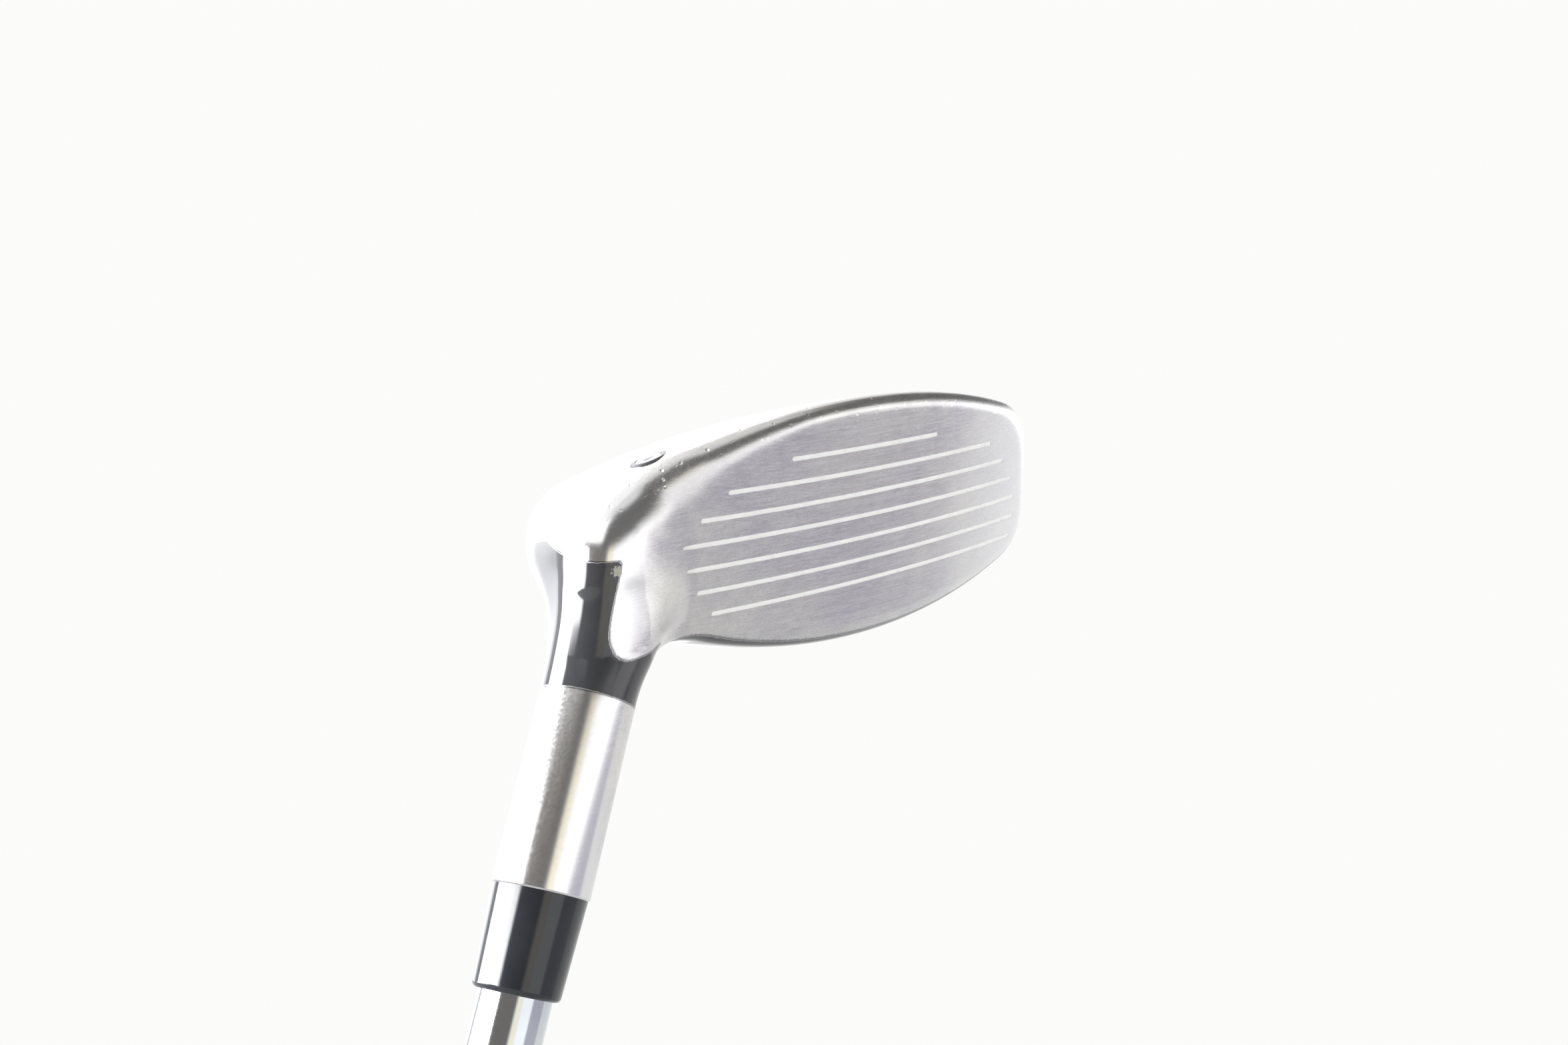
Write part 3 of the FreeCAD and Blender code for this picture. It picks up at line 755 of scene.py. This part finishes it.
def head_finish():
    """Brushed face, polished hosel and sole, gloss black crown and neck."""
    paint = Paint("head_finish", Specular_IOR_Level=0.5)
    place = paint.attribute("place", vector=True)
    polish = paint.attribute("polish")
    edge, chip = paint_edge(paint, place)
    bare = paint.ramp(edge, -0.05, 0.05)
    # Painted shade: a thin dark line on the bare side of the paint's edge, standing in for the
    # shadow of the paint's step.
    painted_edge_shade = paint.math("MULTIPLY", paint.ramp(edge, -0.02, 0.1), paint.ramp(edge, 0.30, 0.12))
    scratches, brush = brush_marks(paint, place)
    nick = nick_marks(paint, place)
    mottle = paint.noise(paint.stretch(place, (0.07, 0.10, 0.10)), 1.0, 3.0, 0.6)

    steel = steel_colour(paint, place, mottle, brush)
    steel = paint.mix(polish, steel, STEEL_POLISHED)
    # Painted shade along the paint's edge.
    steel = paint.mix(painted_edge_shade, steel, STEEL_PAINTED_EDGE_SHADE)
    steel = paint.mix(paint.ramp(chip, 0.0, 0.1), steel, STEEL_CHIP)
    steel = paint.mix(nick, steel, STEEL_NICK)
    lacquer = paint.mix(paint.ramp(mottle, 0.3, 0.7), LACQUER_DARK, LACQUER_LIGHT)
    paint.set("Base Color", paint.mix(bare, lacquer, steel))
    paint.set("Metallic", bare)

    satin = paint.ramp(brush, 0.3, 0.7, 0.20, 0.34)
    shiny = paint.ramp(scratches, 0.3, 0.7, 0.13, 0.22)
    metal = paint.node("Mix", {"Factor": polish, "A": satin, "B": shiny})
    glossy = paint.ramp(mottle, 0.3, 0.7, 0.05, 0.09)
    roughness = paint.node("Mix", {"Factor": bare, "A": glossy, "B": metal.outputs["Result"]})
    paint.set("Roughness", roughness.outputs["Result"])

    step = paint.bump(paint.ramp(edge, 0.04, -0.04), PAINT_STEP)
    dents = paint.bump(paint.math("SUBTRACT", 1.0, nick), NICK_DEPTH, step)
    score = paint.math("MULTIPLY", brush, paint.ramp(polish, 0.0, 1.0, 1.0, 0.25))
    paint.bump(paint.math("MULTIPLY", score, bare), BRUSH_DEPTH, dents)
    return paint.material


def speckled(name, low, high, scale, roughness, relief, **sockets):
    """A finish whose colour, roughness and relief vary with fine grain."""
    paint = Paint(name, **sockets)
    place = paint.object_place()
    broad = paint.noise(place, scale * 0.12, 3.0)
    grain = paint.noise(place, scale, 4.0, 0.6)
    paint.set("Base Color", paint.mix(paint.ramp(broad, 0.35, 0.65), rgb(*low), rgb(*high)))
    paint.set("Roughness", paint.ramp(grain, 0.3, 0.7, roughness[0], roughness[1]))
    paint.bump(grain, relief)
    return paint.material


def shaft_finish():
    """Chrome plate with the faint rings of polishing."""
    paint = Paint("shaft_finish", Metallic=1.0)
    place = paint.object_place()
    rings = paint.noise(paint.stretch(place, (0.15, 0.15, 5.0)), 1.0, 3.0, 0.6)
    haze = paint.noise(place, 0.12, 3.0)
    paint.set("Base Color", paint.mix(paint.ramp(haze, 0.35, 0.65), rgb(0.48, 0.51, 0.54),
                                      rgb(0.56, 0.59, 0.61)))
    paint.set("Roughness", paint.ramp(rings, 0.3, 0.7, 0.07, 0.13))
    paint.bump(rings, 0.002)
    return paint.material


# ------------------------------------------------------------------ grip and cap

GRIP_SPOKES = 160
GRIP_OUTLINE = [(4.0, 12.9), (75.0, 11.6), (171.0, 10.25), (267.0, 8.9)]
GRIP_ROW = 0.9
GRIP_BORE = 7.77
PIT_DEPTH = 0.3
PIT_PITCH = 5.4
PITS_ROUND = 16
BAND_PITCH = 66.0
BAND_WIDTH = 7.0
BAND_START = 30
PATTERN_SPAN = (16, 258)
LOZENGE_REACH = 0.42
LOZENGE_EDGE = 0.14
LIP_ROUNDING = 0.8
CAP_SPOKES = 96


def turned(name, rings, spokes):
    """A closed piece turned round Z from rings of points, each a row of (radius, height)."""
    vertices = []
    faces = []
    for ring in rings:
        for spoke in range(spokes):
            turn = math.tau * spoke / spokes
            radius, height = ring(turn)
            vertices.append((radius * math.cos(turn), radius * math.sin(turn), height))
    count = len(rings)
    for row in range(count):
        start = row * spokes
        above = (row + 1) % count * spokes
        for spoke in range(spokes):
            after = (spoke + 1) % spokes
            faces.append((start + spoke, start + after, above + after, above + spoke))
    piece = mesh_object(name, np.array(vertices) * MM, faces)
    for polygon in piece.data.polygons:
        polygon.use_smooth = True
    return piece


def steady(radius, height):
    return lambda turn: (radius, height)


def grip_radius(height):
    heights, radii = zip(*GRIP_OUTLINE)
    radius = float(np.interp(height, heights, radii))
    from_end = min(height - heights[0], heights[-1] - height)
    if from_end < LIP_ROUNDING:
        radius -= LIP_ROUNDING - math.sqrt(LIP_ROUNDING ** 2 - (LIP_ROUNDING - from_end) ** 2)
    return radius


def pit(turn, height):
    """Depth of the moulded pattern: staggered lozenges between plain bands."""
    from_band = abs((height - BAND_START) % BAND_PITCH - BAND_PITCH / 2)
    patterned = PATTERN_SPAN[0] < height < PATTERN_SPAN[1]
    if from_band > BAND_PITCH / 2 - BAND_WIDTH or not patterned:
        return 0.0
    row = height / PIT_PITCH
    column = turn * PITS_ROUND / math.tau + 0.5 * (math.floor(row) % 2)
    spread = abs(column % 1 - 0.5) + abs(row % 1 - 0.5)
    return PIT_DEPTH * float(ease((LOZENGE_REACH - spread) / LOZENGE_EDGE))


def grip_ring(height):
    radius = grip_radius(height)
    return lambda turn: (radius - pit(turn, height), height)


def make_grip():
    foot = GRIP_OUTLINE[0][0]
    mouth = GRIP_OUTLINE[-1][0]
    lip = [LIP_ROUNDING * share for share in (0.0, 0.1, 0.3, 0.6)]
    rows = int((mouth - foot - 2 * LIP_ROUNDING) / GRIP_ROW)
    heights = [foot + step for step in lip]
    heights += list(np.linspace(foot + LIP_ROUNDING, mouth - LIP_ROUNDING, rows))
    heights += [mouth - step for step in reversed(lip)]
    rings = [grip_ring(height) for height in heights]
    rings += [steady(GRIP_BORE, mouth), steady(GRIP_BORE, foot)]
    return turned("grip_skin", rings, GRIP_SPOKES)


# Radius and height round the cap's section, from the vent's foot outwards.
CAP_SECTION = [
    (1.3, 0.25), (1.55, 0.0), (7.2, 0.0), (7.5, 0.1), (7.7, 0.45), (8.3, 0.45), (8.5, 0.1),
    (8.8, 0.0), (12.0, 0.0), (12.57, 0.11), (13.06, 0.44), (13.39, 0.93), (13.5, 1.5),
    (13.5, 3.5), (13.35, 3.85), (13.0, 4.0), (1.3, 4.0),
]


def make_cap():
    """The cap's end, with the vent and a moulded ring round it."""
    return turned("cap_skin", [steady(*corner) for corner in CAP_SECTION], CAP_SPOKES)


# ------------------------------------------------------------------ dressing the club

head_shell = make_head()
head_shell.data.materials.append(head_finish())
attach(head_shell, "root")
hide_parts("head_body", "face_plate", "crown_plate")

grip_skin = make_grip()
grip_skin.data.materials.append(
    speckled("grip_rubber", (0.022, 0.022, 0.023), (0.034, 0.034, 0.035), 3.0, (0.6, 0.8), 0.05))
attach(grip_skin, "root")
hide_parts("grip")

cap_skin = make_cap()
cap_skin.data.materials.append(
    speckled("cap_rubber", (0.020, 0.020, 0.021), (0.030, 0.030, 0.031), 3.0, (0.5, 0.65), 0.03))
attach(cap_skin, "root")
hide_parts("grip_cap")

CAD_FINISHES = {
    "score_line_paint": speckled("line_paint", (0.90, 0.91, 0.90), (0.95, 0.96, 0.95), 4.0,
                                 (0.5, 0.7), 0.02),
    "sole_mark": speckled("mark_paint", (0.03, 0.03, 0.033), (0.05, 0.05, 0.055), 3.0,
                          (0.35, 0.5), 0.02),
    "hot_melt_glue": speckled("hot_melt", (0.72, 0.64, 0.42), (0.82, 0.76, 0.58), 0.6,
                              (0.3, 0.5), 0.1, Subsurface_Weight=0.2),
    "shaft": shaft_finish(),
    "tip_weight": speckled("weight_brass", (0.62, 0.46, 0.18), (0.75, 0.58, 0.28), 1.5,
                           (0.2, 0.35), 0.01, Metallic=1.0),
    "hosel_plug": speckled("plug_nylon", (0.74, 0.74, 0.70), (0.84, 0.84, 0.80), 1.5,
                           (0.4, 0.6), 0.02),
    "epoxy_bond": speckled("epoxy", (0.62, 0.52, 0.28), (0.74, 0.66, 0.42), 1.5,
                           (0.15, 0.3), 0.01),
    "shaft_band": speckled("band_film", (0.07, 0.075, 0.09), (0.10, 0.11, 0.13), 2.0,
                           (0.15, 0.25), 0.004),
    "ferrule": speckled("ferrule_gloss", (0.012, 0.014, 0.018), (0.017, 0.019, 0.024), 1.2,
                        (0.07, 0.13), 0.002),
    "grip_tape": speckled("tape_paper", (0.74, 0.70, 0.58), (0.84, 0.80, 0.70), 1.5,
                          (0.8, 0.95), 0.03),
}
for node_name, material in CAD_FINISHES.items():
    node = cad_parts[node_name]
    node.data.materials.clear()
    node.data.materials.append(material)

# ------------------------------------------------------------------ floor, light, camera

CAMERA_PLACE = Vector((-109.82, -169.17, -56.57))
CAMERA_RIGHT = head_direction((0.7259300, 0.6623759, 0.1851589))
CAMERA_DOWN = head_direction((-0.1557591, -0.1038903, 0.9823166))
LENS = 35.25
SENSOR = 36.0
CLIP_START = 0.01


FLOOR_RADIUS = 4.0
FLOOR_RINGS = 24
FLOOR_SPOKES = 96


def make_floor():
    """A round pale floor under the butt end."""
    rings = FLOOR_RINGS
    spokes = FLOOR_SPOKES
    vertices = [(0, 0, 0)]
    faces = []
    for ring in range(1, rings + 1):
        reach = FLOOR_RADIUS * (ring / rings) ** 2
        for spoke in range(spokes):
            turn = math.tau * spoke / spokes
            vertices.append((reach * math.cos(turn), reach * math.sin(turn), 0))
    for spoke in range(spokes):
        after = (spoke + 1) % spokes
        faces.append((0, 1 + spoke, 1 + after))
        for ring in range(rings - 1):
            base = 1 + ring * spokes
            faces.append((base + spoke, base + spokes + spoke, base + spokes + after,
                          base + after))
    floor = mesh_object("floor", vertices, faces)
    floor.data.materials.append(speckled("floor_paper", (0.36, 0.36, 0.36),
                                         (0.37, 0.37, 0.37), 0.05, (0.8, 0.9), 0.05))


# The studio: panels of light and dark, fixed in the world and fitted to the photo's
# reflections. Each is (bearings, heights, edge, colour), in degrees. Bearing 0 is straight
# back to the camera, + to the picture's right. A later panel covers an earlier one.
STUDIO = [
    ((-150, -20), (38, 100), 12, (1.45, 1.45, 1.42)),
    ((-176, -129), (-12, 60), 5, (3.2, 3.2, 3.3)),
    ((-112, -67), (-40, 62), 5, (24.0, 24.0, 24.0)),
    ((-62, 18), (-100, 36), 9, (0.27, 0.25, 0.23)),
    ((-80, -42), (-40, 21), 10, (24.0, 24.0, 24.0)),
    ((21, 38), (-60, 30), 7, (1.60, 1.48, 1.20)),
    ((36, 66), (-60, 22), 5, (1.7, 1.7, 1.7)),
    ((66, 150), (-1, 14), 5, (2.1, 2.1, 2.1)),
    ((66, 106), (-60, -2), 8, (0.72, 0.70, 0.78)),
    ((2, 165), (22, 66), 14, (0.22, 0.215, 0.21)),
    ((-80, 0), (34, 64), 6, (1.9, 1.9, 1.87)),
]
TENT = (1.1, 1.1, 1.09)
SEEN_BACKDROP = (0.965, 0.970, 0.960)


def sky_angles(sky):
    """Bearing and height of the world's directions, in degrees."""
    direction = sky.node("TexCoord").outputs["Generated"]

    def towards(axis):
        made = sky.node("VectorMath", {0: direction, 1: tuple(axis)}, operation="DOT_PRODUCT")
        return made.outputs["Value"]

    back = CAMERA_RIGHT.cross(CAMERA_DOWN) * -1
    bearing = sky.math("ARCTAN2", towards(CAMERA_RIGHT), towards(back))
    height = sky.math("ARCSINE", towards(-CAMERA_DOWN))
    return sky.math("DEGREES", bearing), sky.math("DEGREES", height)


def within(sky, value, span, edge):
    """One inside the span, fading over the edge's width at both ends."""
    low, high = span
    fades = []
    for start, end in ((low - edge / 2, low + edge / 2), (high + edge / 2, high - edge / 2)):
        fade = sky.node("MapRange", {"Value": value, "From Min": start, "From Max": end},
                        interpolation_type="SMOOTHSTEP")
        fades.append(fade.outputs["Result"])
    return sky.math("MULTIPLY", *fades)


def make_studio():
    """World light from the studio's panels; rays from the camera see a plain backdrop."""
    world = bpy.data.worlds.new("studio")
    bpy.context.scene.world = world
    world.use_nodes = True
    world.node_tree.nodes.clear()
    sky = Nodes(world.node_tree)
    bearing, height = sky_angles(sky)
    colour = rgb(*TENT)
    for bearings, heights, edge, light in STUDIO:
        panel = sky.math("MULTIPLY", within(sky, bearing, bearings, edge),
                         within(sky, height, heights, edge))
        colour = sky.mix(panel, colour, rgb(*light))
    studio = sky.node("Background", {"Color": colour})
    backdrop = sky.node("Background", {"Color": rgb(*SEEN_BACKDROP)})
    seen = sky.node("LightPath").outputs["Is Camera Ray"]
    surface = sky.node("MixShader", {0: seen, 1: studio.outputs[0], 2: backdrop.outputs[0]})
    output = sky.node("OutputWorld", {"Surface": surface.outputs[0]})
    output.is_active_output = True


def make_camera():
    """The camera stands low in front of the head, heel side, and looks up at it."""
    camera = bpy.data.objects.new("camera", bpy.data.cameras.new("camera"))
    camera.data.sensor_width = SENSOR
    camera.data.lens = LENS
    camera.data.clip_start = CLIP_START
    place = (axis_place + CAMERA_PLACE) * MM
    up = -CAMERA_DOWN
    back = CAMERA_RIGHT.cross(up)
    turn = Matrix((CAMERA_RIGHT, up, back)).transposed()
    camera.matrix_world = Matrix.LocRotScale(place, turn, None)
    bpy.context.scene.collection.objects.link(camera)
    bpy.context.scene.camera = camera


make_floor()
make_studio()
make_camera()
bpy.context.scene.view_settings.view_transform = "Standard"
